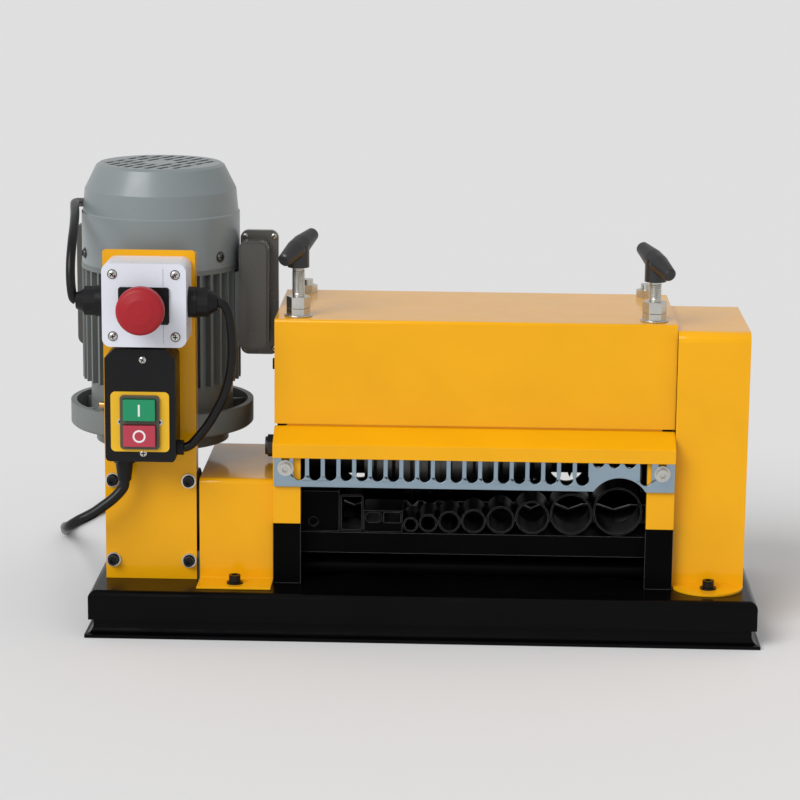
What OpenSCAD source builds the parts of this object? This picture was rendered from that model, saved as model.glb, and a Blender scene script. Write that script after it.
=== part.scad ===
// Bench wire stripping machine: a vertical gear motor drives a grooved feed roller
// under a row of disc blades, in a folded yellow casing on a black base pan.
// Millimetres. +X to the right, +Y away from the operator, +Z up.
// Origin: centre of the base pan's underside.

/* [Base pan] */
// Length of the base over its foot lips
base_l = 570; // [540:1:640]
// Depth of the base over its foot lips
base_d = 260; // [250:1:320]
// Height of the base
base_h = 40; // [30:1:60]
// Width of the foot lip outside the walls
lip_w = 3; // [1:0.5:10]
// Thickness of the sheet of the base
base_t = 3; // [2:0.5:5]
// Bend radius at the base's top edges
base_r = 6; // [4:0.5:10]

/* [Stripping head] */
// Centre of the stripping head, right of the base's centre
head_x = 42; // [38:1:46]
// Width of the stripping head over its hood
head_w = 340; // [334:1:346]
// Height of the hood's top above the ground
hood_top = 266; // [255:1:290]
// Height of the hood's lower edge above the ground
hood_low = 176; // [172:1:186]
// Front face of the hood, from the base's centre
hood_front = -74; // [-80:0.5:-70]
// Depth of the hood
hood_d = 154; // [150:1:175]
// Thickness of the yellow sheet
sheet_t = 2; // [1:0.5:3]
// Thickness of the side plates
side_t = 8; // [6:0.5:10]
// Thickness of the bridge plate under the hood
bridge_t = 9; // [6:0.5:14]
// Width of each front post
post_w = 23.5; // [20:0.5:28]
// Depth of each front post
post_d = 10; // [6:0.5:12]
// Height of the posts' lower end
post_low = 93; // [85:1:100]
// Height of the lower edge of the bent front strip
strip_low = 151; // [148:0.5:154]

/* [Comb] */
// Thickness of the comb plate
comb_t = 3; // [2:0.5:4]
// Height of the comb's lower edge
comb_low = 126; // [122:0.5:128]
// Height of the comb plate
comb_h = 32; // [29:0.5:36]
// Pitch of the comb's slots
slot_pitch = 13.3; // [13:0.05:13.6]
// Width of a comb slot
slot_w = 9.8; // [7:0.1:10.5]
// Height of the slots' rounded ends above the comb's lower edge
slot_rise = 5.6; // [4:0.1:8]
// Radius of the arch over the largest tube
arch_r = 26; // [22:0.5:28]

/* [Feed tubes] */
// Height of the shelf that the tubes lie on
shelf_z = 82; // [80:0.5:84]
// Thickness of the shelf
shelf_t = 6; // [4:0.5:8]
// Wall of a feed tube
tube_wall = 1.5; // [1:0.1:2]
// Length of a feed tube
tube_len = 40; // [30:1:42]
// Gap between neighbouring tubes
tube_gap = 0.6; // [0.4:0.1:1]
// Width of the tall rectangular tube
tall_w = 20; // [16:0.5:22]
// Height of the tall rectangular tube
tall_h = 32; // [26:0.5:34]
// Height of the two flat openings
flat_h = 9; // [6:0.5:11]

/* [Rollers and blades] */
// Axis of roller and blades, from the base's centre
mech_y = -10; // [-11:0.5:0]
// Height of the feed roller's axis
roller_z = 78; // [77.5:0.5:79]
// Radius of the feed roller's lands
roller_r = 16; // [14:0.5:17]
// Radius of the feed roller's shaft
roller_shaft_r = 10; // [8:0.5:10]
// Radius of the blade shaft
blade_shaft_r = 9; // [7:0.5:10]
// Least radius of the spacers between the blades
spacer_least = 12; // [11:0.5:14]
// How far a blade stands out of the spacers beside it
blade_bite = 4; // [3:0.5:8]
// Thickness of a blade
blade_t = 3; // [2:0.1:4]
// Radial running clearance of shafts, screws and pins
run_gap = 0.05; // [0.02:0.01:0.09]
// Module of the gears that join roller and blades
gear_m = 4; // [3.8:0.05:4.1]
// Width of these gears
gear_w = 16; // [10:1:20]
// How far the blades can be raised
lift = 6; // [2:0.5:7]

/* [Setting screws] */
// Thickness of the bearing blocks that the setting screws lift
block_t = 16; // [12:0.5:18]
// Depth of the setting screws, from the base's centre
screw_y = -55; // [-58:0.5:-50]
// Radius of the setting screws
screw_r = 5; // [4:0.5:6]
// Height of the left handle's lower end above the hood
left_rise = 42; // [36:1:60]
// Height of the right handle's lower end above the hood
right_rise = 34; // [34:1:60]
// Length of a handle's cross bar
tee_l = 56; // [44:1:70]
// Tilt of the cross bar
tee_tilt = 17; // [0:1:25]
// Direction of the left handle's cross bar
left_turn = 66; // [0:1:180]
// Direction of the right handle's cross bar
right_turn = 114; // [0:1:180]

/* [Drive] */
// Motor axis, from the left side of the stripping head
motor_x = -105; // [-108:0.5:-102]
// Radius of the motor's round flange
flange_r = 80; // [76:0.5:82]
// Height of the flange's underside
flange_z = 159; // [150:0.5:164]
// Height of the flange's rim
flange_h = 21; // [16:0.5:26]
// Radius of the motor over its fins
fin_r = 69; // [64:0.5:72]
// Height of the fan cover's lower edge
fan_low = 302; // [290:1:315]
// Height of the fan cover
fan_h = 86; // [78:1:95]
// Height of the gearbox's output axis above the base
out_rise = 51.6; // [50:0.2:54]
// Distance between worm and output axes
worm_c = 50; // [48:0.5:54]
// Module of the output gears
out_m = 2; // [1.9:0.05:2.1]

/* [Control bracket] */
// Width of the bracket
bracket_w = 78; // [76:0.5:84]
// Height of the bracket's top above the ground
bracket_top = 325; // [322:1:340]
// Thickness of the bracket's plate
bracket_t = 3; // [2:0.5:4]
// Front face of the bracket, from the base's centre
bracket_front = -83; // [-86:0.5:-82]
// Side of the square emergency stop box
stop_box = 70; // [66:0.5:74]
// Depth of the emergency stop box
stop_box_d = 42; // [36:0.5:50]
// Radius of the mushroom button
mushroom_r = 20; // [16:0.5:21]
// Travel of the mushroom button
stop_travel = 6; // [3:0.5:6.5]
// Width of the switch box
switch_w = 59; // [56:0.5:62]
// Height of the switch box
switch_h = 96; // [92:0.5:97]
// Depth of the switch box
switch_d = 35; // [30:0.5:40]
// Travel of the start and stop buttons
key_travel = 2; // [1:0.25:2.5]

/* [Covers] */
// Width of the gear cover
gear_cover_w = 61; // [56:0.5:66]
// Height of the gear cover's top above the ground
gear_cover_top = 261; // [240:1:265]
// Depth of the gear cover
gear_cover_d = 137; // [130:1:150]
// Front face of the gear cover, from the base's centre
gear_cover_front = -80; // [-84:0.5:-76]
// Top of the drive guard above the ground
guard_top = 129; // [124:1:134]
// Length of the covers' foot flanges
foot_l = 30; // [24:1:34]

/* [Leads] */
// Radius of the leads between motor, stop box and switch
lead_r = 3.9; // [3:0.1:4.5]
// Radius of the mains lead
mains_r = 4.5; // [4:0.1:4.6]
// Mean radius of the outer loop of the stored coil
coil_r = 56; // [52:1:60]

/* [Hidden] */
$fn = 48;
yellow = [0.93, 0.65, 0.09];
black = [0.07, 0.07, 0.08];
zinc = [0.70, 0.75, 0.80];
steel = [0.74, 0.75, 0.76];
grey = [0.55, 0.57, 0.58];

// Clear gap between parts that only stand beside each other
air = 0.3;
head_l = head_x - head_w / 2;
head_r = head_x + head_w / 2;
drive_x = head_l + motor_x;
hood_back = hood_front + hood_d;
side_lo = head_l + sheet_t + air;
side_hi = head_r - sheet_t - air;
inner_lo = side_lo + side_t;
inner_hi = side_hi - side_t;
bridge_top = hood_top - sheet_t - air;
side_top = bridge_top - bridge_t;
side_front = hood_front - 8;
side_back = hood_back - sheet_t - air;
post_front = side_front - post_d;
comb_front = post_front - comb_t;
strip_front = comb_front - sheet_t;
first_slot = 22.5;
comb_screw_in = 11;
comb_screw_x = [head_l + comb_screw_in, head_r - comb_screw_in];
comb_screw_z = comb_low + 16.5;

// Outer diameters of the round tubes, left to right
tube_od = [13, 16, 19, 21, 24, 29, 36, 42];
tube_n = len(tube_od);
small_n = 5;
oval_w = 14;
slot_block_w = 33;
// Room between the largest tube and the right side plate
row_margin = 15.3;
tube_front = hood_front + 2;
function tube_sum(i) = i == 0 ? 0 : tube_sum(i - 1) + tube_od[i - 1] + tube_gap;
first_tube = inner_hi - row_margin - tube_sum(tube_n) + tube_gap;
block_x = first_tube - tube_gap - slot_block_w;
tall_x = block_x - tube_gap - tall_w;
function tube_x(i) = first_tube + tube_sum(i) + tube_od[i] / 2;
flat_z = shelf_z + 8;
oval_x = block_x + 1.5 + oval_w / 2;
flat_w = slot_block_w - oval_w - 4.5;
flat_x = block_x + slot_block_w - 1.5 - flat_w / 2;

// Channel centres with the height of what passes through each
channel = concat([[tall_x + tall_w / 2, tall_h - 2 * tube_wall], [oval_x, flat_h + 6], [flat_x, flat_h + 6]],
                 [for (i = [0 : tube_n - 1]) [tube_x(i), tube_od[i] - 2 * tube_wall]]);
groove_r = shelf_z + tube_wall + 6 - roller_z;
gear_z = 16;
function groove_half(c) = 0.3 * c[1] + 2;
blade_z = roller_z + gear_m * gear_z;
function blade_r(c) = blade_z - (roller_z + groove_r) - 0.88 * c[1];

// Sliding gap between the bearing blocks and the side plates
block_gap = 0.7;
screw_span = inner_hi - inner_lo - block_t - 2 * block_gap;
screw_lo = head_x - screw_span / 2;
screw_hi = head_x + screw_span / 2;
guide_y = hood_back - 16;
block_h = 44;
block_front = screw_y - 12;
block_back = guide_y + 12;
block_low = blade_z - block_h / 2;
block_top = blade_z + block_h / 2;
screw_seat = block_top - 12;
bush_h = 7;
nut_h = 10;
hex_r = 10.4;
gear_x = head_r + 8;

// Worm gearbox, set by the output gears' centre distance
out_z = 18;
out_z0 = base_h + out_rise;
out_c = out_m * out_z;
out_y = mech_y - sqrt(out_c * out_c - (out_z0 - roller_z) * (out_z0 - roller_z));
motor_y = out_y + worm_c;
out_gear_w = 12;
out_gear_x = head_l - 32;
box_half = 37;
foot_face = bracket_front + bracket_t;
bolt_dx = 65;
bolt_dz = 70;
body_z = flange_z + flange_h;
fan_top = fan_low + fan_h;
fan_r = fin_r - 0.5;
cover_t = 2;
rotor_r = 8;
fan_z = fan_low + 24;

stop_x = drive_x + 1;
stop_z = bracket_top - 5 - stop_box / 2;
stop_front = bracket_front - stop_box_d;
stem_r = 11;
collar_d = 6;
mushroom_gap = stop_travel + 1.5;
switch_x = drive_x - 4;
switch_top = stop_z - stop_box / 2 - 3;
switch_low = switch_top - switch_h;
switch_front = bracket_front - switch_d;
plate_w = 49;
plate_h = 51;
plate_t = 1.5;
plate_z = switch_low + 9 + plate_h / 2;
surround_w = 33;
surround_h = 46;
surround_d = 3;
key_w = 27;
key_h = 18;
key_dz = 11;
key_d = 12;
gland_r = 13;
gland_l = 24;
gland_lo = stop_x - stop_box / 2 - gland_l;
gland_hi = stop_x + stop_box / 2 + gland_l;
gland_y = bracket_front - stop_box_d / 2;
term_x = drive_x + fin_r + 1;
// Clear gap between the terminal lid and the head
term_gap = 2;
term_w = head_l - term_gap - term_x;
term_low = flange_z + 63;
term_h = 109;
term_r = 7;
// The lid faces the operator: a rim with a deep dome before it
lid_front = motor_y - 9;
lid_t = 6;
dome_d = 20;
rim_w = 7;
term_reach = 45;
term_back = motor_y + term_reach;

gear_cover_x = head_r + air;
guard_lo = drive_x + bracket_w / 2 + 2.5;
guard_hi = head_l - air;
guard_front = bracket_front - 1;
guard_back = 56;

// Shared shapes

// Rectangle with round corners, centred
module rrect(w, h, r) {
  square([w - 2 * r, h], center = true);
  square([w, h - 2 * r], center = true);
  for (i = [-1, 1], j = [-1, 1])
    translate([i * (w / 2 - r), j * (h / 2 - r)]) circle(r);
}

// Outline of a sheet folded over two round bends at its top
module folded(w, h, r) {
  square([w, h - r]);
  translate([r, 0]) square([w - 2 * r, h]);
  for (x = [r, w - r])
    translate([x, h - r]) circle(r);
}

// Extrudes a (y, z) outline along X
module along_x(x0, l) {
  translate([x0, 0, 0]) rotate([90, 0, 90]) linear_extrude(l) children();
}

// Extrudes an (x, z) outline backwards from the plane y0
module facing(y0, t) {
  translate([0, y0 + t, 0]) rotate([90, 0, 0]) linear_extrude(t) children();
}

module x_cyl(x0, l, r, y, z, n = 48) {
  translate([x0, y, z]) rotate([0, 90, 0]) cylinder(h = l, r = r, $fn = n);
}

module y_cyl(y0, l, r, x, z, n = 48) {
  translate([x, y0, z]) rotate([-90, 0, 0]) cylinder(h = l, r = r, $fn = n);
}

module z_cyl(x, y, z0, l, r, n = 48) {
  translate([x, y, z0]) cylinder(h = l, r = r, $fn = n);
}

// Spur gear outline: straight-flanked teeth, one of them along +X
module gear_outline(m, z) {
  rp = m * z / 2;
  tooth = [[rp - 1.25 * m, 0.95 * m], [rp + m, 0.32 * m]];
  polygon([for (i = [0 : z - 1], s = [[0, -1], [1, -1], [1, 1], [0, 1]])
    let (p = tooth[s[0]], a = i * 360 / z + s[1] * asin(p[1] / p[0]))
    [p[0] * cos(a), p[0] * sin(a)]]);
}

// Cap screw on a washer, its axis along +Z and its seat at the origin
module cap_screw(r, shank) {
  cylinder(h = 1.5, r = r * 2.3);
  translate([0, 0, 1.5]) difference() {
    cylinder(h = 2 * r, r = r * 1.65);
    translate([0, 0, r]) cylinder(h = 2 * r, r = r * 0.95, $fn = 6);
  }
  translate([0, 0, -shank]) cylinder(h = shank + 1, r = r);
}

// Swept tubes

function unit(v) = v / norm(v);
function spline(p, i, t) =
  let (a = p[max(i - 1, 0)], b = p[i], c = p[i + 1], d = p[min(i + 2, len(p) - 1)])
  0.5 * (2 * b + t * (c - a) + t * t * (2 * a - 5 * b + 4 * c - d) + t * t * t * (3 * b - a - 3 * c + d));
function smooth(p, k) =
  concat([for (i = [0 : len(p) - 2], j = [0 : k - 1]) spline(p, i, j / k)], [p[len(p) - 1]]);
function tangent(p, i) = unit(p[min(i + 1, len(p) - 1)] - p[max(i - 1, 0)]);
function across(v, t) = unit(v - (v * t) * t);

// A round tube along a list of points, its end tangents given by first and last
module tube(p, r, n, first, last) {
  m = len(p);
  tan = [for (i = [0 : m - 1]) i == 0 ? first : i == m - 1 ? last : tangent(p, i)];
  side = abs(first[2]) > 0.9 ? [1, 0, 0] : [0, 0, 1];
  u = [for (i = 0, v = across(side, tan[0]); i < m; i = i + 1, v = i < m ? across(v, tan[i]) : v) v];
  ring = [for (i = [0 : m - 1], j = [0 : n - 1])
    p[i] + r * (cos(j * 360 / n) * u[i] + sin(j * 360 / n) * cross(tan[i], u[i]))];
  walls = [for (i = [0 : m - 2], j = [0 : n - 1])
    let (a = i * n + j, b = i * n + (j + 1) % n) each [[a, a + n, b], [b, a + n, b + n]]];
  caps = concat([for (j = [1 : n - 2]) [0, j, j + 1]],
                [for (j = [1 : n - 2]) [(m - 1) * n, (m - 1) * n + j + 1, (m - 1) * n + j]]);
  polyhedron(points = ring, faces = concat(walls, caps));
}

// Base and frame

// Section of the pan, set in by t: a folded top over a groove that flares out to the foot lip
module pan_outline(w, t) {
  groove_in = 4;
  groove_z = base_h * 0.38;
  top_w = w - 2 * lip_w - 2 * t;
  low_w = top_w - 2 * groove_in;
  flare = lip_w + groove_in;
  translate([-low_w / 2, -1]) square([low_w, base_h - t - base_r]);
  translate([-top_w / 2, groove_z + t])
    folded(top_w, base_h - groove_z - 2 * t, base_r - min(t, base_r - 1));
  if (t == 0)
    difference() {
      translate([-w / 2, 0]) square([w, base_t + flare]);
      for (side = [-1, 1])
        translate([side * w / 2, base_t + flare]) circle(flare);
    }
}

module pan_solid(t) {
  intersection() {
    along_x(-base_l, 2 * base_l) pan_outline(base_d, t);
    facing(-base_d, 2 * base_d) pan_outline(base_l, t);
  }
}

module base() {
  color(black) difference() {
    intersection() {
      pan_solid(0);
      translate([-base_l / 2, -base_d / 2, 0]) cube([base_l, base_d, base_h]);
    }
    pan_solid(base_t);
  }
}

module side_outline() {
  polygon([[side_front, base_h], [side_back, base_h], [side_back, side_top],
           [hood_front + sheet_t + air, side_top], [hood_front + sheet_t + air, hood_low - 3],
           [side_front, hood_low - 12]]);
}

bearing_r = 17;
keeper_r = 2.6;
keeper_z = hood_low - 9;

// Side plate with the roller bearing's seat and an upright slot for the blade shaft
module side_plate(x0) {
  slot = blade_shaft_r + 2;
  color(black) difference() {
    along_x(x0, side_t) side_outline();
    x_cyl(x0 - 1, side_t + 2, bearing_r + run_gap, mech_y, roller_z);
    x_cyl(x0 - 1, side_t + 2, keeper_r + run_gap, mech_y, keeper_z);
    along_x(x0 - 1, side_t + 2) {
      for (z = [blade_z, blade_z + lift])
        translate([mech_y, z]) circle(slot);
      translate([mech_y - slot, blade_z]) square([2 * slot, lift]);
    }
  }
}

module side_plate_left() { side_plate(side_lo); }
module side_plate_right() { side_plate(side_hi - side_t); }

bush_r = 7.5;

module bridge_plate() {
  color(black) difference() {
    translate([side_lo, hood_front + sheet_t + air, side_top])
      cube([side_hi - side_lo, side_back - hood_front - sheet_t - air, bridge_t]);
    for (x = [screw_lo, screw_hi]) {
      z_cyl(x, screw_y, side_top - 1, bridge_t + 2, bush_r + run_gap);
      z_cyl(x, guide_y, side_top - 1, bridge_t + 2, screw_r + run_gap);
    }
  }
}

post_top = comb_low + comb_h;
comb_screw_r = 3;

module front_posts() {
  color(yellow) for (x = [head_l, head_r - post_w])
    difference() {
      translate([x, post_front, post_low]) cube([post_w, post_d, post_top - post_low]);
      for (s = comb_screw_x)
        y_cyl(post_front - 1, post_d + 2, comb_screw_r + run_gap, s, comb_screw_z);
    }
}

tie_r = 7;

module lower_frame() {
  color(black) {
    for (x = [head_l, head_r - post_w])
      translate([x, post_front + 2, base_h]) cube([post_w, post_d - 2, post_low - base_h]);
    x_cyl(inner_lo, inner_hi - inner_lo, tie_r, side_front + 22, base_h + tie_r + 1);
    x_cyl(inner_lo, inner_hi - inner_lo, tie_r, side_back - 20, base_h + 4 * tie_r);
  }
}

// Casing

module hood() {
  bend = 3;
  color(yellow) difference() {
    along_x(head_l, head_w) translate([hood_front, hood_low]) folded(hood_d, hood_top - hood_low, bend);
    along_x(head_l + sheet_t, head_w - 2 * sheet_t)
      translate([hood_front + sheet_t, hood_low - 1])
        folded(hood_d - 2 * sheet_t, hood_top - hood_low + 1 - sheet_t, max(bend - sheet_t, 0.5));
    for (x = [screw_lo, screw_hi]) {
      z_cyl(x, screw_y, hood_top - 9, 10, bush_r + air);
      z_cyl(x, guide_y, hood_top - 9, 10, screw_r + air);
    }
    for (x = [head_l - 1, head_r - sheet_t - 1])
      x_cyl(x, sheet_t + 2, hood_screw_r + run_gap, hood_screw_y, hood_screw_z);
  }
}

strip_fold = 12;
strip_bend = strip_low + strip_fold;

module front_strip() {
  strip_flange = 24;
  run = hood_front - strip_front;
  strip_top = hood_low - 2;
  drop = strip_top - strip_bend;
  thick = sheet_t * norm([run, drop]) / run;
  color(yellow) {
    along_x(head_l, head_w)
      polygon([[strip_front, strip_low], [strip_front, strip_bend], [hood_front, strip_top],
               [hood_front + sheet_t, strip_top], [hood_front + sheet_t, strip_top - thick],
               [hood_front, strip_top - thick], [strip_front + sheet_t, strip_bend - thick / 2],
               [strip_front + sheet_t, strip_low]]);
    along_x(inner_lo + air, inner_hi - inner_lo - 2 * air) {
      translate([hood_front, strip_top - thick]) square([2 * sheet_t, thick]);
      translate([hood_front + sheet_t, strip_top - thick]) square([sheet_t, strip_flange]);
    }
  }
}

slot_n = floor((head_w - 2 * first_slot) / slot_pitch) + 1;

module comb() {
  color(zinc) facing(comb_front, comb_t) difference() {
    translate([head_l + 1, comb_low]) square([head_w - 1.5, comb_h]);
    for (i = [0 : slot_n - 1]) {
      // Three slots over the largest tube end higher, and the two beside them end in a wider hole
      x = head_l + first_slot + i * slot_pitch;
      from_arch = tube_x(tube_n - 1) - x;
      rise = abs(from_arch) < 1.5 * slot_pitch ? slot_rise + 15 : slot_rise;
      translate([x, comb_low + rise + slot_w / 2]) {
        circle(slot_w / 2 + (from_arch > 1.5 * slot_pitch && from_arch < 3.5 * slot_pitch ? 0.7 : 0));
        translate([-slot_w / 2, 0]) square([slot_w, comb_h]);
      }
    }
    translate([tube_x(tube_n - 1), comb_low + 12 - arch_r]) circle(arch_r);
    for (x = comb_screw_x)
      translate([x, comb_screw_z]) {
        circle(comb_screw_r + air);
        translate([-comb_screw_r - air, 0]) square([2 * comb_screw_r + 2 * air, comb_h]);
      }
  }
}

module comb_screws() {
  color(steel) for (x = comb_screw_x)
    translate([x, comb_front, comb_screw_z])
      rotate([90, 0, 0]) cap_screw(comb_screw_r, comb_t + post_d - 1);
}

hood_screw_r = 3;
hood_screw_y = 6;
hood_screw_z = hood_low + 36;
guard_screw = [(guard_lo + guard_hi) / 2, guard_front - foot_l * 0.55];
gear_screw = [gear_cover_x + gear_cover_w / 2, gear_cover_front - foot_l * 0.4];

module cover_screws() {
  color(black) {
    for (p = [guard_screw, gear_screw])
      translate([p[0], p[1], base_h + sheet_t]) cap_screw(3, sheet_t - 0.5);
    translate([side_lo, mech_y, keeper_z]) rotate([0, -90, 0]) cap_screw(keeper_r, side_t - 1);
    translate([side_hi, mech_y, keeper_z]) rotate([0, 90, 0]) cap_screw(keeper_r, side_t - 1);
    translate([head_l, hood_screw_y, hood_screw_z]) rotate([0, -90, 0]) cap_screw(hood_screw_r, sheet_t);
    translate([head_r, hood_screw_y, hood_screw_z]) rotate([0, 90, 0]) cap_screw(hood_screw_r, sheet_t);
  }
}

module gear_cover() {
  bend = 9;
  h = gear_cover_top - base_h;
  r = gear_cover_w / 2;
  color(yellow) {
    difference() {
      along_x(gear_cover_x, gear_cover_w) translate([gear_cover_front, base_h]) folded(gear_cover_d, h, bend);
      along_x(gear_cover_x - 1, gear_cover_w + 1 - sheet_t)
        translate([gear_cover_front + sheet_t, base_h - 1])
          folded(gear_cover_d - 2 * sheet_t, h + 1 - sheet_t, bend - sheet_t);
    }
    translate([gear_cover_x + r, gear_cover_front, base_h]) difference() {
      cylinder(h = sheet_t, r = r);
      translate([-2 * r, sheet_t, -1]) cube([4 * r, 2 * r, sheet_t + 2]);
      translate([0, gear_screw[1] - gear_cover_front, -1]) cylinder(h = sheet_t + 2, r = 3 + run_gap);
    }
  }
}

module drive_guard() {
  bend = 5;
  w = guard_hi - guard_lo;
  d = guard_back - guard_front;
  h = guard_top - base_h;
  color(yellow) {
    difference() {
      along_x(guard_lo, w) translate([guard_front, base_h]) folded(d, h, bend);
      along_x(guard_lo - 1, w + 2) translate([guard_front + sheet_t, base_h - 1])
        folded(d - 2 * sheet_t, h + 1 - sheet_t, bend - sheet_t);
    }
    difference() {
      translate([guard_lo, guard_front - foot_l, base_h]) cube([w, foot_l + 1, sheet_t]);
      translate([guard_screw[0], guard_screw[1], base_h - 1]) cylinder(h = sheet_t + 2, r = 3 + run_gap);
    }
  }
}

// Feed

module feed_shelf() {
  lip = 3;
  shelf_drop = 18;
  color(black) {
    translate([inner_lo, tube_front - 4, shelf_z - shelf_t])
      cube([inner_hi - inner_lo, tube_len + 6, shelf_t]);
    translate([inner_lo, tube_front - 4, shelf_z - shelf_drop]) cube([inner_hi - inner_lo, lip, shelf_drop]);
  }
}

module end_block() {
  x0 = inner_lo + air;
  hole_r = 4;
  color(black) difference() {
    translate([x0, tube_front, shelf_z]) cube([tall_x - tube_gap - x0, tube_len - 8, tall_h + 3]);
    y_cyl(tube_front - 1, 5, hole_r, (x0 + tall_x) / 2, shelf_z + 2 * hole_r);
  }
}

module tall_tube() {
  bend = 2.5;
  color(black) facing(tube_front, tube_len)
    translate([tall_x + tall_w / 2, shelf_z + tall_h / 2]) difference() {
      rrect(tall_w, tall_h, bend);
      rrect(tall_w - 2 * tube_wall, tall_h - 2 * tube_wall, bend - tube_wall);
    }
}

module flat_tube_block() {
  color(black) facing(tube_front, tube_len) difference() {
    translate([block_x, shelf_z]) square([slot_block_w, flat_z + flat_h + tube_wall - shelf_z]);
    translate([oval_x, flat_z + flat_h / 2]) rrect(oval_w, flat_h, flat_h / 2 - 0.1);
    translate([flat_x, flat_z + flat_h / 2]) rrect(flat_w, flat_h, 0.8);
  }
}

module round_tube(i) {
  r = tube_od[i] / 2;
  color(black) difference() {
    y_cyl(tube_front, tube_len, r, tube_x(i), shelf_z + r + 0.1);
    y_cyl(tube_front - 1, tube_len + 2, r - tube_wall, tube_x(i), shelf_z + r + 0.1);
  }
}

module small_feed_tubes() {
  for (i = [0 : small_n - 1])
    round_tube(i);
}

module large_feed_tubes() {
  for (i = [small_n : tube_n - 1])
    round_tube(i);
}

// Plate at the back with an outlet hole behind each feed tube, level with the roller's top
module rear_plate() {
  plate_d = 4;
  y0 = side_back - plate_d - 2;
  outlet_z = roller_z + roller_r;
  room = 1;
  color(black) facing(y0, plate_d) difference() {
    union() {
      translate([inner_lo, base_h]) square([inner_hi - inner_lo, block_low - 8 - base_h]);
      translate([screw_lo + block_t / 2 + room, base_h])
        square([screw_hi - screw_lo - block_t - 2 * room, hood_low - 2 - base_h]);
    }
    for (c = channel)
      translate([c[0], outlet_z + c[1] / 2]) circle(c[1] / 2);
  }
}

// Roller, blades and their gears

module roller_bearings() {
  color(steel) for (x = [side_lo, side_hi - side_t])
    difference() {
      x_cyl(x, side_t, bearing_r, mech_y, roller_z);
      x_cyl(x - 1, side_t + 2, roller_shaft_r + run_gap, mech_y, roller_z);
    }
}

roller_lo = inner_lo + 3;
roller_hi = inner_hi - 3;

module feed_roller() {
  grooves = [for (c = channel) each [[roller_r, c[0] - groove_half(c)], [groove_r, c[0]],
                                     [roller_r, c[0] + groove_half(c)]]];
  color(steel) translate([0, mech_y, roller_z]) rotate([0, 90, 0]) rotate_extrude()
    polygon(concat([[0, out_gear_x], [roller_shaft_r, out_gear_x], [roller_shaft_r, roller_lo],
                    [roller_r, roller_lo]], grooves,
                   [[roller_r, roller_hi], [roller_shaft_r, roller_hi], [roller_shaft_r, gear_x + gear_w],
                    [0, gear_x + gear_w]]));
}

// Gear on a shaft along X, turned so that a tooth lies at the angle given
module x_gear(x0, w, m, z, y, zc, turn, bore) {
  along_x(x0, w) translate([y, zc]) difference() {
    rotate(turn) gear_outline(m, z);
    circle(bore);
  }
}

module roller_gear() {
  color(steel) x_gear(gear_x, gear_w, gear_m, gear_z, mech_y, roller_z, 90, roller_shaft_r + run_gap);
}

module blade_gear() {
  color(steel)
    x_gear(gear_x, gear_w, gear_m, gear_z, mech_y, blade_z, -90 + 180 / gear_z, blade_shaft_r + run_gap);
}

// Direction from the roller's axis to the gearbox's output axis
mesh_turn = atan2(out_z0 - roller_z, out_y - mech_y);

module driven_gear() {
  color(steel)
    x_gear(out_gear_x, out_gear_w, out_m, out_z, mech_y, roller_z, mesh_turn, roller_shaft_r + run_gap);
}

out_shaft_r = 8;
out_shaft_in = 20;

module output_gear() {
  x0 = drive_x + box_half - out_shaft_in;
  color(steel) {
    along_x(out_gear_x, out_gear_w) translate([out_y, out_z0])
      rotate(mesh_turn + 180 + 180 / out_z) gear_outline(out_m, out_z);
    x_cyl(x0, out_gear_x - x0 + 1, out_shaft_r, out_y, out_z0);
  }
}

module bearing_blocks() {
  waist = 9;
  color(black) for (x = [screw_lo, screw_hi])
    difference() {
      along_x(x - block_t / 2, block_t) difference() {
        translate([block_front, block_low]) square([block_back - block_front, block_h]);
        for (y = [screw_y + 10, mech_y + 24])
          translate([y, block_low - 1]) square([mech_y - 24 - screw_y - 10, waist + 1]);
      }
      x_cyl(x - block_t, 2 * block_t, blade_shaft_r + run_gap, mech_y, blade_z);
      z_cyl(x, screw_y, screw_seat, block_h, screw_r + run_gap);
      z_cyl(x, guide_y, block_low - 1, block_h + 2, screw_r + run_gap);
    }
}

spacer_lo = screw_lo + block_t / 2 + 1;
spacer_hi = screw_hi - block_t / 2 - 1;

// Shaft with a washer and a lock nut at its left end, outside the side plate
module blade_shaft() {
  washer_t = 5;
  end_nut = 8;
  x0 = side_lo - 2 - washer_t - end_nut;
  color(steel) {
    x_cyl(x0, gear_x + gear_w - x0, blade_shaft_r - 1, mech_y, blade_z);
    x_cyl(side_lo - 2, gear_x + gear_w - side_lo + 2, blade_shaft_r, mech_y, blade_z);
    x_cyl(side_lo - 2 - washer_t, washer_t, blade_shaft_r + 3, mech_y, blade_z);
    x_cyl(x0 + 2, end_nut - 2, blade_shaft_r + 1, mech_y, blade_z, 6);
  }
}

blade_bore = blade_shaft_r + run_gap;
function spacer_r(c) = max(blade_r(c) - blade_bite, spacer_least);

// Rings that hold the blades apart, each as high as the blades beside it leave room for
module blade_spacers() {
  n = len(channel);
  color(steel) translate([0, mech_y, blade_z]) rotate([0, 90, 0]) for (i = [0 : n])
    let (a = channel[max(i - 1, 0)], b = channel[min(i, n - 1)],
         lo = i == 0 ? spacer_lo : a[0] + blade_t / 2, hi = i == n ? spacer_hi : b[0] - blade_t / 2)
      rotate_extrude() {
        translate([blade_bore, lo]) square([spacer_r(a) - blade_bore, (hi - lo) / 2]);
        translate([blade_bore, (lo + hi) / 2]) square([spacer_r(b) - blade_bore, (hi - lo) / 2]);
      }
}

module blades() {
  bevel = 3;
  color(zinc) for (c = channel)
    translate([c[0], mech_y, blade_z]) rotate([0, 90, 0]) rotate_extrude()
      polygon([[blade_bore, -blade_t / 2], [blade_r(c) - bevel, -blade_t / 2], [blade_r(c), 0],
               [blade_r(c) - bevel, blade_t / 2], [blade_bore, blade_t / 2]]);
}

// Setting screws

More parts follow.
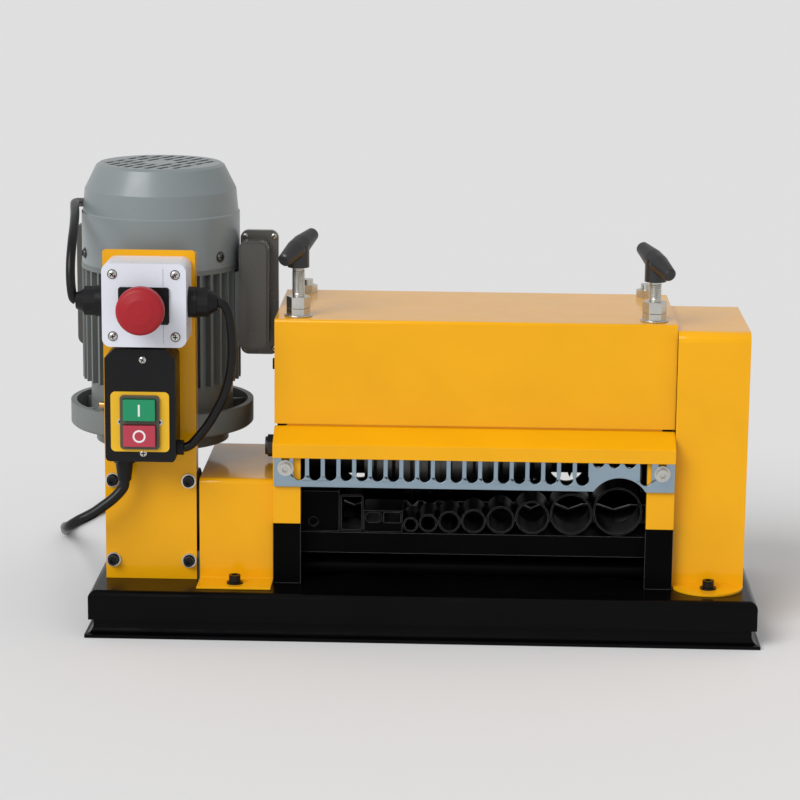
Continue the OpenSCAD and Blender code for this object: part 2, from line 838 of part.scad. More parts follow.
module hex_nuts() {
  color(steel) for (x = [screw_lo, screw_hi])
    for (k = [0, 1])
      difference() {
        union() {
          z_cyl(x, screw_y, hood_top + k * (bush_h + run_gap), k == 0 ? bush_h : nut_h, hex_r, 6);
          if (k == 0) {
            z_cyl(x, screw_y, side_top, hood_top - side_top + 1, bush_r);
            z_cyl(x, screw_y, hood_top, 1.5, hex_r + 1.6);
          }
        }
        z_cyl(x, screw_y, side_top - 1, hood_top, screw_r + run_gap);
      }
}

module guide_bolts() {
  color(steel) for (x = [screw_lo, screw_hi]) {
    z_cyl(x, guide_y, block_low - 6, hood_top + 12 - block_low + 6, screw_r);
    z_cyl(x, guide_y, hood_top, 7, hex_r - 1.5, 6);
  }
}

hub_r = 9.2;
hub_h = 17;

module setting_screw(x, rise) {
  collar_h = 6;
  color(steel) {
    z_cyl(x, screw_y, screw_seat + air, hood_top + rise + hub_h - 6 - screw_seat, screw_r);
    z_cyl(x, screw_y, block_top + air, collar_h, screw_r + 3);
  }
}

// Moulded handle: a hub with a tilted, waisted cross bar
module tee_handle(x, rise, turn) {
  end_r = 5.6;
  mid_r = 8.4;
  z0 = hood_top + rise;
  color(black) difference() {
    union() {
      z_cyl(x, screw_y, z0, hub_h + 2, hub_r);
      translate([x, screw_y, z0 + hub_h]) rotate([0, 0, turn]) rotate([0, 90 - tee_tilt, 0]) rotate_extrude()
        polygon([[0, -tee_l / 2], [end_r - 1.5, -tee_l / 2], [end_r, -tee_l / 2 + 1.5], [mid_r, -6], [mid_r, 6],
                 [end_r, tee_l / 2 - 1.5], [end_r - 1.5, tee_l / 2], [0, tee_l / 2]]);
    }
    z_cyl(x, screw_y, z0 - 1, hub_h - 4, screw_r + run_gap);
  }
}

module left_screw() { setting_screw(screw_lo, left_rise); }
module right_screw() { setting_screw(screw_hi, right_rise); }
module left_handle() { tee_handle(screw_lo, left_rise, left_turn); }
module right_handle() { tee_handle(screw_hi, right_rise, right_turn); }

// Motor and gearbox

bolt_r = 2.6;

// Height of the foot pad that the bracket is bolted to
pad_h = 84;

module gearbox() {
  wheel_r = out_y - foot_face - air;
  pad_d = 12;
  side_boss = 3;
  worm_w = 60;
  worm_h = 76;
  column_r = 31;
  neck_r = 58;
  neck_h = 14;
  color(grey) difference() {
    union() {
      x_cyl(drive_x - box_half, 2 * box_half, wheel_r, out_y, out_z0);
      x_cyl(drive_x - box_half - side_boss, 2 * (box_half + side_boss), wheel_r * 0.7, out_y, out_z0);
      translate([drive_x - box_half, foot_face, out_z0 - pad_h / 2]) cube([2 * box_half, pad_d, pad_h]);
      translate([drive_x - worm_w / 2, out_y, out_z0 - worm_h / 2]) cube([worm_w, worm_c, worm_h]);
      z_cyl(drive_x, motor_y, base_h + 8, flange_z - base_h - 10, column_r);
      z_cyl(drive_x, motor_y, flange_z - neck_h, neck_h, neck_r);
    }
    x_cyl(drive_x + box_half - out_shaft_in - 1, out_shaft_in + 6, out_shaft_r + run_gap, out_y, out_z0);
    for (i = [-1, 1], j = [-1, 1])
      y_cyl(foot_face - 1, 11, bolt_r + run_gap, drive_x + i * bolt_dx / 2, out_z0 + j * bolt_dz / 2);
  }
}

module motor_flange() {
  floor_h = 6;
  rim_t = 5;
  ribs = 8;
  color(grey) translate([drive_x, motor_y, flange_z]) {
    rotate_extrude() polygon([[0, 0], [flange_r - 2, 0], [flange_r, 2], [flange_r, flange_h],
                              [flange_r - rim_t, flange_h], [flange_r - rim_t, floor_h], [fin_r - 7, floor_h],
                              [fin_r - 7, flange_h], [0, flange_h]]);
    for (i = [0 : ribs - 1])
      rotate((i + 0.5) * 360 / ribs) translate([fin_r - 9, -2.5, floor_h - 1])
        cube([flange_r - rim_t - fin_r + 11, 5, flange_h - floor_h - 4]);
  }
}

pad_half = 20;

module motor_body() {
  fins = 40;
  core_r = fin_r - 7;
  color(grey) difference() {
    union() {
      translate([drive_x, motor_y, body_z]) cylinder(h = fan_low - body_z, r = core_r);
      translate([drive_x, motor_y, body_z + 20]) linear_extrude(fan_low - body_z - 24)
        for (i = [0 : fins - 1])
          rotate(i * 360 / fins) translate([core_r - 1, -1.1]) square([fin_r - core_r + 1, 2.2]);
      translate([drive_x, motor_y, fan_low - 4]) cylinder(h = 4, r = fin_r);
      translate([drive_x + core_r - 20, motor_y - pad_half, term_low + 8])
        cube([term_x - drive_x - core_r + 20, 2 * pad_half, fan_low - 6 - term_low - 8]);
    }
    z_cyl(drive_x, motor_y, fan_low - 16, 20, rotor_r + run_gap);
  }
}

// Pressed cover: straight skirt, two shallow steps, a cone and a flat top with a slit grille
module fan_cover() {
  skirt = fan_h - 42;
  step = 1.2;
  cone_low = fan_h - 22;
  cone_r = fan_r - 3;
  top_r = cone_r - 13;
  columns = 8;
  pitch = 10;
  slit = 5.2;
  hub = 14;
  reach = top_r - 5;
  grille_turn = -28;
  color(grey) translate([drive_x, motor_y, fan_low]) difference() {
    rotate_extrude() polygon([[fan_r - cover_t, 0], [fan_r, 0], [fan_r, skirt], [fan_r - step, skirt + step],
                              [cone_r, cone_low], [top_r + 3, fan_h - 2], [top_r, fan_h], [0, fan_h],
                              [0, fan_h - cover_t], [top_r - 1, fan_h - cover_t],
                              [top_r + 1.5, fan_h - cover_t - 2], [cone_r - cover_t, cone_low - 1],
                              [fan_r - step - cover_t, skirt + step], [fan_r - cover_t, skirt]]);
    rotate(grille_turn) for (i = [0 : columns - 1])
      let (x = (i - (columns - 1) / 2) * pitch, far = sqrt(reach * reach - x * x),
           near = abs(x) < hub ? sqrt(hub * hub - x * x) : 1.6)
        for (s = [0, 180])
          rotate(s) for (k = [0, 1])
            translate([x - slit / 2, near + k * (far - near) / 2 + 0.8, fan_h - cover_t - 4])
              cube([slit, (far - near) / 2 - 1.6, cover_t + 6]);
  }
}

module cooling_fan() {
  vane_n = 7;
  vane_gap = 12;
  vane_r = fan_r - vane_gap;
  vane_h = 24;
  vane_t = 2.4;
  disc_t = 2.5;
  hub = 14;
  shaft_in = 14;
  color(black) translate([drive_x, motor_y, 0]) {
    translate([0, 0, fan_low - shaft_in]) cylinder(h = fan_z - fan_low + shaft_in + vane_h, r = rotor_r);
    translate([0, 0, fan_z]) {
      cylinder(h = vane_h - 4, r = hub);
      cylinder(h = disc_t, r = vane_r);
      for (i = [0 : vane_n - 1])
        rotate(i * 360 / vane_n) translate([hub - 4, -vane_t / 2, 0]) cube([vane_r - hub + 3, vane_t, vane_h]);
    }
  }
}

term_mid = term_low + term_h / 2;
term_gland_l = 12;
term_gland_in = 12;
term_gland_x = term_x + term_gland_in;

module terminal_box() {
  w = term_w - 4;
  lid_over = 19;
  h = term_h - lid_over;
  gland_hex = 9;
  color([0.30, 0.31, 0.32]) {
    facing(lid_front + lid_t, term_back - lid_front - lid_t) translate([term_x + w / 2, term_low + 4 + h / 2])
      rrect(w, h, term_r);
    y_cyl(term_back - 1, term_gland_l + 1, gland_hex, term_gland_x, term_mid, 6);
  }
}

module terminal_lid() {
  w = term_w - rim_w;
  h = term_h - 2 * rim_w;
  crown = 2;
  color([0.26, 0.27, 0.28]) {
    facing(lid_front, lid_t) translate([term_x + term_w / 2, term_mid]) rrect(term_w, term_h, term_r);
    translate([term_x + w / 2, 0, term_mid]) {
      facing(lid_front - dome_d + crown, dome_d) rrect(w, h, term_r);
      facing(lid_front - dome_d, dome_d) rrect(w - 2 * crown, h - 2 * crown, term_r - crown);
    }
  }
}

// Controls

module control_bracket() {
  flange_d = 12;
  flange_low = out_z0 + pad_h / 2 + air;
  color(yellow) {
    difference() {
      facing(bracket_front, bracket_t) translate([drive_x - bracket_w / 2, base_h])
        folded(bracket_w, bracket_top - base_h, 3);
      for (i = [-1, 1], j = [-1, 1])
        y_cyl(bracket_front - 1, bracket_t + 2, bolt_r + run_gap, drive_x + i * bolt_dx / 2,
              out_z0 + j * bolt_dz / 2);
    }
    for (x = [drive_x - bracket_w / 2, drive_x + bracket_w / 2 - bracket_t])
      translate([x, foot_face - 1, flange_low]) cube([bracket_t, flange_d + 1, bracket_top - flange_low - 3]);
  }
}

module bracket_screws() {
  color(black) for (i = [-1, 1], j = [-1, 1])
    translate([drive_x + i * bolt_dx / 2, bracket_front, out_z0 + j * bolt_dz / 2])
      rotate([90, 0, 0]) cap_screw(bolt_r, bracket_t + 8);
}

stop_bore_d = 27;

module stop_box_body() {
  color("white") difference() {
    facing(stop_front, stop_box_d) translate([stop_x, stop_z]) rrect(stop_box, stop_box, 7);
    y_cyl(stop_front - 1, stop_bore_d + 1, stem_r + air, stop_x, stop_z);
  }
}

module cable_glands() {
  color(black) {
    for (g = [[stop_x - stop_box / 2, gland_lo], [stop_x + stop_box / 2, gland_hi]])
      let (d = g[1] - g[0], s = sign(d))
        translate([g[0], gland_y, stop_z]) rotate([0, s * 90, 0]) {
          cylinder(h = abs(d) * 0.3, r = gland_r);
          cylinder(h = abs(d) * 0.7, r = gland_r - 0.6, $fn = 12);
          translate([0, 0, abs(d) * 0.7 - 0.1])
            cylinder(h = abs(d) * 0.3 + 0.1, r1 = gland_r - 2, r2 = lead_r + 3);
        }
  }
}

collar_t = 2;
collar_w = 42;
collar_h = 31;

module stop_collar() {
  color(black) difference() {
    union() {
      facing(stop_front - collar_t, collar_t) translate([stop_x, stop_z]) rrect(collar_w, collar_h, 2);
      y_cyl(stop_front - collar_t - collar_d, collar_d + 1, stem_r + 4, stop_x, stop_z);
    }
    y_cyl(stop_front - 20, 30, stem_r + run_gap, stop_x, stop_z);
  }
}

mushroom_back = stop_front - collar_t - collar_d - mushroom_gap;
mushroom_h = 18.5;

module stop_plunger() {
  y0 = mushroom_back - 8;
  color(black) y_cyl(y0, stop_front + stop_bore_d - stop_travel - 1 - y0, stem_r, stop_x, stop_z);
}

module stop_button() {
  color("red") translate([stop_x, mushroom_back, stop_z]) rotate([90, 0, 0]) difference() {
    rotate_extrude() polygon(concat([[0, 0], [mushroom_r - 4, 0], [mushroom_r - 0.5, 3], [mushroom_r, 7]],
      [for (a = [15 : 15 : 75]) [mushroom_r - 7 + 7 * cos(a), 11.5 + 5 * sin(a)]],
      [[mushroom_r * 0.5, mushroom_h - 0.6], [0, mushroom_h]]));
    translate([0, 0, -1]) cylinder(h = 11, r = stem_r + run_gap);
  }
}

plate_front = switch_front - plate_t;
frame_front = plate_front - surround_d;
switch_mid = switch_low + switch_h / 2;

// Outline of the two key openings, grown by gap
module key_outlines(gap) {
  for (s = [-1, 1])
    translate([switch_x, plate_z + s * key_dz]) square([key_w + 2 * gap, key_h + 2 * gap], center = true);
}

module switch_body() {
  top_cut = 8;
  color(black) {
    difference() {
      facing(switch_front, switch_d) translate([switch_x, switch_mid]) difference() {
        rrect(switch_w, switch_h, 4);
        for (s = [-1, 1])
          translate([s * switch_w / 2, switch_h / 2]) rotate(45) square(top_cut * sqrt(2), center = true);
      }
      facing(switch_front - 1, key_d + 1) key_outlines(air);
    }
    x_cyl(switch_x + switch_w / 2 - 1, 6, lead_r + 2.5, bracket_front - switch_d / 2, switch_low + 9);
  }
}

module switch_plate() {
  color(yellow) facing(plate_front, plate_t) difference() {
    translate([switch_x, plate_z]) rrect(plate_w, plate_h, 4);
    key_outlines(air);
  }
}

module switch_frame() {
  color(grey) facing(frame_front, surround_d) difference() {
    translate([switch_x, plate_z]) rrect(surround_w, surround_h, 3);
    key_outlines(air);
  }
}

// A key stands proud of its frame and slides into the body
module key(s) {
  proud = key_travel + 1.5;
  depth = proud + surround_d + plate_t + key_d - key_travel - 1;
  facing(frame_front - proud, depth)
    translate([switch_x, plate_z + s * key_dz]) square([key_w, key_h], center = true);
}

module start_key() { color("green") key(1); }
module stop_key() { color("red") key(-1); }

// Leads

switch_entry = [switch_x + switch_w / 2 + 5, bracket_front - switch_d / 2, switch_low + 9];
right_route = [[gland_hi, gland_y, stop_z], [gland_hi + 5, gland_y, stop_z - 1.5], [-164, -104, 275],
               [-161.7, -103.5, 260], [-161.3, -103, 240], [-163.5, -103, 222], [-170, -102, 202],
               [-182, -101, 180], [switch_entry[0] + 8.5, switch_entry[1], switch_entry[2] + 5],
               [switch_entry[0] + 4, switch_entry[1], switch_entry[2] + 1.2], switch_entry];
left_route = [[gland_lo, gland_y, stop_z], [gland_lo - 3.5, gland_y, stop_z + 2], [-297, -101, 297],
              [-298, -94, 315], [-299, -76, 330], [-300, -50, 341], [-306, -15, 348], [-308, 12, 349],
              [-300, 42, 346], [-274, 76, 341], [-232, 94, 330], [-194, 97, 313], [-166, 92, 294],
              [term_gland_x, term_back + term_gland_l + 12, term_mid + 1],
              [term_gland_x, term_back + term_gland_l, term_mid]];

module leads() {
  color(black) {
    tube(smooth(right_route, 3), lead_r, 10, [1, 0, 0], [-1, 0, 0]);
    tube(smooth(left_route, 3), lead_r, 10, [-1, 0, 0], [0, -1, 0]);
  }
}

// Mains lead: strain relief, free stretch, stored coil and plug

relief_l = 20;
relief_x = switch_x - 16;
relief_y = bracket_front - switch_d / 2;
floor_z = mains_r + 0.05;
coil_x = -269;
coil_y = 325;
relief_low = switch_low - relief_l;
mains_route = [[relief_x, relief_y, relief_low], [relief_x - 1.5, relief_y, relief_low - 7],
               [-262, -102.5, 115.5], [-271, -104, 108.5], [-281, -104.5, 101.5], [-292, -103, 95.5],
               [-300.5, -97, 89], [-306, -82, 83.5], [-311, -55, 76.5], [-317, -18, 67], [-324.5, 30, 54],
               [-332, 80, 41], [-339.5, 126, 28.5], [-346, 165, 16.5], [-350.5, 196, 7.5], [-352, 222, floor_z],
               [-346, 245, floor_z], [-337.5, 272, floor_z], [-329, 300, floor_z],
               [coil_x - coil_r, coil_y - 9, floor_z], [coil_x - coil_r, coil_y, floor_z]];

module strain_relief() {
  color(black) translate([relief_x, relief_y, relief_low]) {
    cylinder(h = relief_l - 5, r1 = mains_r + 1.2, r2 = mains_r + 3);
    translate([0, 0, relief_l - 5]) cylinder(h = 5, r = mains_r + 4.5, $fn = 6);
  }
}

module mains_cord() {
  color(black) tube(smooth(mains_route, 3), mains_r, 10, [0, 0, -1], [0, 1, 0]);
}

// Two layers of loops: the coil runs in, climbs through half a turn and runs out again
coil_turns = 2;
coil_pitch = 2 * mains_r + 2;
coil_layer = 2 * mains_r + 0.6;
coil_end = 2 * coil_turns + 0.5;
function ramp(t) = t <= 0 ? 0 : t >= 1 ? 1 : t * t * (3 - 2 * t);
function coil_point(t) =
  let (inward = t < coil_turns ? t : min(coil_end - t, coil_turns), r = coil_r - coil_pitch * inward)
  [coil_x + r * cos(180 - 360 * t), coil_y + r * sin(180 - 360 * t),
   floor_z + coil_layer * ramp((t - coil_turns) * 2)];
coil_steps = 24 * coil_end;
coil_tail = [coil_x + coil_r, coil_y - 24, floor_z + coil_layer];
coil_path = concat([for (i = [0 : coil_steps]) coil_point(i / 24)], [coil_tail]);
coil_gap = min([for (i = [0 : coil_steps], j = [i + 12 : 1 : coil_steps]) norm(coil_path[i] - coil_path[j])])
           - 2 * mains_r;
echo(coil_gap = coil_gap);

module mains_coil() {
  color(black) tube(coil_path, mains_r, 6, [0, 1, 0], [0, -1, 0]);
}

module mains_plug() {
  body_l = 36;
  pin_l = 16;
  plug_r = floor_z + coil_layer - 0.05;
  y0 = coil_tail[1];
  color(black) translate([coil_tail[0], y0, coil_tail[2]]) rotate([90, 0, 0]) {
    cylinder(h = 14, r1 = mains_r + 1.5, r2 = plug_r * 0.75);
    translate([0, 0, 14]) cylinder(h = body_l - 14, r = plug_r);
    for (x = [-5, 5])
      translate([x, 3, body_l - 1]) cylinder(h = pin_l + 1, r = 2.4);
    translate([0, -5, body_l - 1]) cylinder(h = pin_l + 1, r = 2.4);
  }
}

base();
side_plate_left();
side_plate_right();
bridge_plate();
front_posts();
lower_frame();
hood();
front_strip();
comb();
comb_screws();
feed_shelf();
end_block();
tall_tube();
flat_tube_block();
small_feed_tubes();
large_feed_tubes();
rear_plate();
roller_bearings();
feed_roller();
roller_gear();
driven_gear();
bearing_blocks();
blade_shaft();
blade_spacers();
blades();
blade_gear();
hex_nuts();
guide_bolts();
left_screw();
left_handle();
right_screw();
right_handle();
gear_cover();
drive_guard();
cover_screws();
gearbox();
output_gear();
motor_flange();
motor_body();
fan_cover();
cooling_fan();
terminal_box();
terminal_lid();
control_bracket();
bracket_screws();
stop_box_body();
cable_glands();
stop_collar();
stop_plunger();
stop_button();
switch_body();
switch_plate();
switch_frame();
start_key();
stop_key();
leads();
strain_relief();
mains_cord();
mains_coil();
mains_plug();
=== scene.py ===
"""Looks of a bench wire stripping machine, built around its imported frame. Metres, +Z up, +Y away."""
import math

import bmesh
import bpy
from mathutils import Matrix, Vector


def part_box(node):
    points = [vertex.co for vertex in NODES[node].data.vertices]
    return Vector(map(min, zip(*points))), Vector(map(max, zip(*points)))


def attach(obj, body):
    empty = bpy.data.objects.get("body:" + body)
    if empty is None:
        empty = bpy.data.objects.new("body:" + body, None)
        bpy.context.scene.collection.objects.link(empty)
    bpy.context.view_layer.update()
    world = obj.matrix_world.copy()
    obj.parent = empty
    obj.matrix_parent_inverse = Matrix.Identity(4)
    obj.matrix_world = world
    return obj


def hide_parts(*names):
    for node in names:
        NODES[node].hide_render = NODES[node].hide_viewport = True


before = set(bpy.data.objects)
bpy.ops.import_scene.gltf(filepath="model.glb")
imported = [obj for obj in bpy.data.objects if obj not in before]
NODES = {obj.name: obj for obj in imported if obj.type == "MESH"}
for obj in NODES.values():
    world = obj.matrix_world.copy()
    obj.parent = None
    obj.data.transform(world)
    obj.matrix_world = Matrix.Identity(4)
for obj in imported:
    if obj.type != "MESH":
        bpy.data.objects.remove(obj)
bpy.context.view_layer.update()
MM = 0.001
Y_AXIS, Z_AXIS = Vector((0, 1, 0)), Vector((0, 0, 1))
FRONT = -Y_AXIS


def mm(*values):
    """A point written in millimetres."""
    return Vector(values) * MM


def box_mm(node):
    """Lowest corner, highest corner and centre of a CAD node, in millimetres."""
    low, high = (Vector(v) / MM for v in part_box(node))
    return low, high, (low + high) / 2


def show(name, data):
    """A new object in the scene."""
    thing = bpy.data.objects.new(name, data)
    bpy.context.scene.collection.objects.link(thing)
    return thing


# Camera, at the photograph's viewing angle

CAMERA_AT = Vector((0.0446, -2.2961, 0.6706))
CAMERA_DOWN, CAMERA_LEFT, CAMERA_ROLL = (math.radians(a) for a in (12, 1.7, 0.55))
CAMERA_LENS, CAMERA_SENSOR = 120.6, 36


def make_camera():
    data = bpy.data.cameras.new("camera")
    data.lens = CAMERA_LENS
    data.sensor_width = CAMERA_SENSOR
    camera = show("camera", data)
    ahead = Vector((-math.sin(CAMERA_LEFT) * math.cos(CAMERA_DOWN),
                    math.cos(CAMERA_LEFT) * math.cos(CAMERA_DOWN), -math.sin(CAMERA_DOWN)))
    right = ahead.cross(Z_AXIS).normalized()
    up = right.cross(ahead)
    c, s = math.cos(CAMERA_ROLL), math.sin(CAMERA_ROLL)
    turned = Matrix((c * right + s * up, c * up - s * right, -ahead)).transposed()
    camera.matrix_world = Matrix.Translation(CAMERA_AT) @ turned.to_4x4()
    bpy.context.scene.camera = camera


# Materials

COAT_ROUGH, COAT_IOR = 0.1, 1.3
PEEL_DEPTH, GRAIN_DEPTH, TOOL_LINE_DEPTH = 0.0001, 0.0003, 0.0001
TOOL_LINE_SCALE, METAL_PATCH = 1800, 40
# How far in from a sharp edge the painted edge highlight reaches.
EDGE_HIGHLIGHT_REACH = 0.0007


class Shader:
    """A material with a Principled shader and short ways to add and join its nodes."""

    def __init__(self, name):
        self.material = bpy.data.materials.new(name)
        self.material.use_nodes = True
        self.tree = self.material.node_tree
        self.bsdf = self.tree.nodes["Principled BSDF"]
        self.place = self.add("ShaderNodeTexCoord").outputs["Object"]

    def add(self, kind, **inputs):
        node = self.tree.nodes.new(kind)
        for key, value in inputs.items():
            node.inputs[key.replace("_", " ")].default_value = value
        return node

    def join(self, source, target):
        self.tree.links.new(source, target)

    def set(self, **values):
        for key, value in values.items():
            self.bsdf.inputs[key.replace("_", " ")].default_value = value

    def noise(self, scale, detail=4, stretch=(1, 1, 1)):
        """Noise in the object's own metres, drawn out along an axis where its stretch is small."""
        mapping = self.add("ShaderNodeMapping")
        mapping.inputs["Scale"].default_value = stretch
        texture = self.add("ShaderNodeTexNoise", Scale=scale, Detail=detail)
        self.join(self.place, mapping.inputs["Vector"])
        self.join(mapping.outputs["Vector"], texture.inputs["Vector"])
        return texture.outputs["Fac"]

    def between(self, value, low, high, to_low, to_high):
        node = self.add("ShaderNodeMapRange")
        for i, v in enumerate((low, high, to_low, to_high)):
            node.inputs[i + 1].default_value = v
        self.join(value, node.inputs["Value"])
        return node.outputs["Result"]

    def mix(self, factor, a, b):
        """Mix of two colours, each a socket or three numbers."""
        node = self.tree.nodes.new("ShaderNodeMix")
        node.data_type = "RGBA"
        self.join(factor, node.inputs["Factor"])
        for socket, value in ((node.inputs[6], a), (node.inputs[7], b)):
            if isinstance(value, bpy.types.NodeSocket):
                self.join(value, socket)
            else:
                socket.default_value = (*value, 1)
        return node.outputs[2]

    def edges(self, radius, samples=4):
        """One along sharp edges, nought on flat faces."""
        rounded = self.add("ShaderNodeBevel", Radius=radius)
        rounded.samples = samples
        flat = self.add("ShaderNodeNewGeometry").outputs["True Normal"]
        dot = self.tree.nodes.new("ShaderNodeVectorMath")
        dot.operation = "DOT_PRODUCT"
        self.join(rounded.outputs["Normal"], dot.inputs[0])
        self.join(flat, dot.inputs[1])
        return self.between(dot.outputs["Value"], 0.98, 0.8, 0, 1)

    def bump(self, height, strength, distance, onto=None):
        node = self.add("ShaderNodeBump", Strength=strength, Distance=distance)
        self.join(height, node.inputs["Height"])
        if onto:
            self.join(onto, node.inputs["Normal"])
        return node.outputs["Normal"]


def shade(color, factor):
    return tuple(min(c * factor, 1) for c in color)


def coated(name, color, rough, coat=0.0, shine=0.5, vary=0.07, patch=14, peel=0.12, peel_scale=900, grain=0.0,
           edge_highlight=None):
    """Paint or plastic: patchy tone, uneven gloss, orange peel and, where asked, a coarser grain or a painted
    highlight along sharp edges.
    """
    s = Shader(name)
    s.set(Coat_Weight=coat, Coat_Roughness=COAT_ROUGH, Coat_IOR=COAT_IOR, Specular_IOR_Level=shine)
    tone = s.between(s.noise(patch), 0.35, 0.65, 0, 1)
    paint = s.mix(tone, shade(color, 1 - vary), shade(color, 1 + vary))
    # A lighter colour mixed in along sharp edges: a painted highlight, standing for light caught on the rims.
    if edge_highlight:
        paint = s.mix(s.edges(EDGE_HIGHLIGHT_REACH), paint, edge_highlight)
    s.join(paint, s.bsdf.inputs["Base Color"])
    s.join(s.between(s.noise(3 * patch), 0.3, 0.7, rough - 0.05, rough + 0.07), s.bsdf.inputs["Roughness"])
    normal = s.bump(s.noise(peel_scale, 2), peel, PEEL_DEPTH)
    if grain:
        normal = s.bump(s.noise(peel_scale / 3, 6), grain, GRAIN_DEPTH, normal)
    s.join(normal, s.bsdf.inputs["Normal"])
    return s.material


def metal(name, color, rough, stretch=(1, 1, 1), lines=0.15, vary=0.12):
    """Bare or plated metal with fine tool lines along the axis where the stretch is small."""
    s = Shader(name)
    s.set(Metallic=1)
    tone = s.between(s.noise(METAL_PATCH), 0.3, 0.7, 0, 1)
    s.join(s.mix(tone, shade(color, 1 - vary), shade(color, 1 + vary)), s.bsdf.inputs["Base Color"])
    scratch = s.noise(TOOL_LINE_SCALE, 3, stretch)
    s.join(s.between(scratch, 0.2, 0.8, rough - 0.08, rough + 0.12), s.bsdf.inputs["Roughness"])
    s.join(s.bump(scratch, lines, TOOL_LINE_DEPTH), s.bsdf.inputs["Normal"])
    return s.material


YELLOW = coated("yellow_paint", (0.84, 0.393, 0.002), 0.34, coat=1.0, shine=0.06, vary=0.03, peel=0.06)
PLATE_YELLOW = coated("plate_yellow", (0.80, 0.46, 0.02), 0.35, shine=0.3, vary=0.02, peel=0.05)
BLACK = coated("black_paint", (0.0015, 0.0015, 0.0019), 0.18, shine=0.09, vary=0.25)
# The interior black carries a painted highlight along its edges, standing for light on the rims of tubes and
# plates.
MACHINE_BLACK = coated("machine_black", (0.0013, 0.0013, 0.0016), 0.42, shine=0.035, vary=0.3, grain=0.1,
                       edge_highlight=(0.14, 0.14, 0.145))
ZINC = metal("zinc_plate", (0.33, 0.43, 0.51), 0.34, (0.03, 1, 1), 0.08, 0.05)
STEEL = metal("turned_steel", (0.62, 0.61, 0.57), 0.24, (1, 1, 0.05))
SHAFT_STEEL = metal("shaft_steel", (0.11, 0.11, 0.11), 0.40, (1, 0.05, 0.05))
BLADE_STEEL = metal("blade_steel", (0.15, 0.16, 0.17), 0.30, (1, 0.2, 0.2))
BRASS = metal("brass", (0.55, 0.30, 0.12), 0.30)
SCREW_BLACK = coated("black_oxide", (0.004, 0.004, 0.0045), 0.30, shine=0.3, vary=0.3)
MOTOR_GREY = coated("motor_grey", (0.215, 0.245, 0.25), 0.36, coat=0.2, vary=0.04, peel=0.08)
CAST_GREY = coated("cast_grey", (0.15, 0.165, 0.16), 0.44, vary=0.09, grain=0.25)
DARK_GREY = coated("terminal_grey", (0.062, 0.060, 0.052), 0.26, coat=0.4, vary=0.06)
BLACK_PLASTIC = coated("black_plastic", (0.0042, 0.0042, 0.0055), 0.38, shine=0.25, vary=0.2, peel=0.2)
HANDLE_BLACK = coated("handle_black", (0.011, 0.011, 0.012), 0.37, shine=0.6, vary=0.2, peel=0.25,
                      grain=0.15)
WHITE = coated("white_plastic", (0.72, 0.745, 0.82), 0.30, vary=0.02, peel=0.05)
RED = coated("red_plastic", (0.37, 0.012, 0.019), 0.45, shine=0.3, vary=0.04, peel=0.08)
RED_KEY = coated("red_key", (0.46, 0.035, 0.065), 0.30, vary=0.05, peel=0.05)
GREEN_KEY = coated("green_key", (0.002, 0.27, 0.11), 0.30, vary=0.05, peel=0.05)
GREY_PLASTIC = coated("grey_plastic", (0.075, 0.070, 0.050), 0.34, vary=0.06)
MARK_WHITE = coated("white_mark", (0.80, 0.80, 0.80), 0.45, vary=0.02)
SHEATH = coated("cable_sheath", (0.003, 0.003, 0.0036), 0.32, shine=0.3, vary=0.2, peel=0.2)
# Near-black for painted shade: the dark of screw recesses, screw wells and rivet bores.
RECESS_SHADE = coated("recess", (0.006, 0.006, 0.006), 0.6, shine=0.2, vary=0.1)
SEAM_GREY = coated("seam_grey", (0.40, 0.42, 0.46), 0.5, vary=0.02)

FINISH = {
    YELLOW: ["front_posts", "hood", "front_strip", "gear_cover", "drive_guard", "control_bracket"],
    PLATE_YELLOW: ["switch_plate"],
    BLACK: ["base"],
    MACHINE_BLACK: ["side_plate_left", "side_plate_right", "bridge_plate", "lower_frame", "feed_shelf",
                    "end_block", "tall_tube", "flat_tube_block", "small_feed_tubes", "large_feed_tubes",
                    "rear_plate", "bearing_blocks"],
    ZINC: ["comb"],
    STEEL: ["comb_screws", "hex_nuts", "guide_bolts", "left_screw", "right_screw"],
    SHAFT_STEEL: ["roller_bearings", "feed_roller", "roller_gear", "driven_gear", "blade_shaft",
                  "blade_spacers", "blade_gear", "output_gear"],
    BLADE_STEEL: ["blades"],
    SCREW_BLACK: ["cover_screws", "bracket_screws"],
    MOTOR_GREY: ["fan_cover"],
    CAST_GREY: ["motor_flange", "motor_body", "gearbox"],
    DARK_GREY: ["terminal_box", "terminal_lid"],
    BLACK_PLASTIC: ["cooling_fan", "cable_glands", "stop_collar", "stop_plunger", "switch_body",
                    "strain_relief", "mains_plug"],
    HANDLE_BLACK: ["left_handle", "right_handle"],
    WHITE: ["stop_box_body"],
    RED: ["stop_button"],
    RED_KEY: ["stop_key"],
    GREEN_KEY: ["start_key"],
    GREY_PLASTIC: ["switch_frame"],
    SHEATH: ["leads", "mains_cord", "mains_coil"],
}


def paint_nodes():
    for material, names in FINISH.items():
        for name in names:
            mesh = NODES[name].data
            mesh.materials.clear()
            mesh.materials.append(material)


# Softened edges of CAD nodes, by their width in millimetres

SOFT_EDGES = {
    1.2: ["stop_box_body", "terminal_lid", "terminal_box", "switch_body"],
    0.6: ["hood", "front_strip", "gear_cover", "drive_guard", "control_bracket", "front_posts", "start_key",
          "stop_key", "switch_plate", "switch_frame", "hex_nuts", "guide_bolts", "motor_flange", "gearbox"],
    0.3: ["comb"],
}
SOFT_ANGLE = math.radians(40)
SOFT_STEPS = 3
SAME_POINT = 0.00001


def soften_edges():
    for width, names in SOFT_EDGES.items():
        for name in names:
            node = NODES[name]
            weld = node.modifiers.new("weld", "WELD")
            weld.merge_threshold = SAME_POINT
            bevel = node.modifiers.new("soft_edge", "BEVEL")
            bevel.width = width * MM
            bevel.segments = SOFT_STEPS
            bevel.limit_method = "ANGLE"
            bevel.angle_limit = SOFT_ANGLE
            bevel.harden_normals = True


# Cords, in millimetres

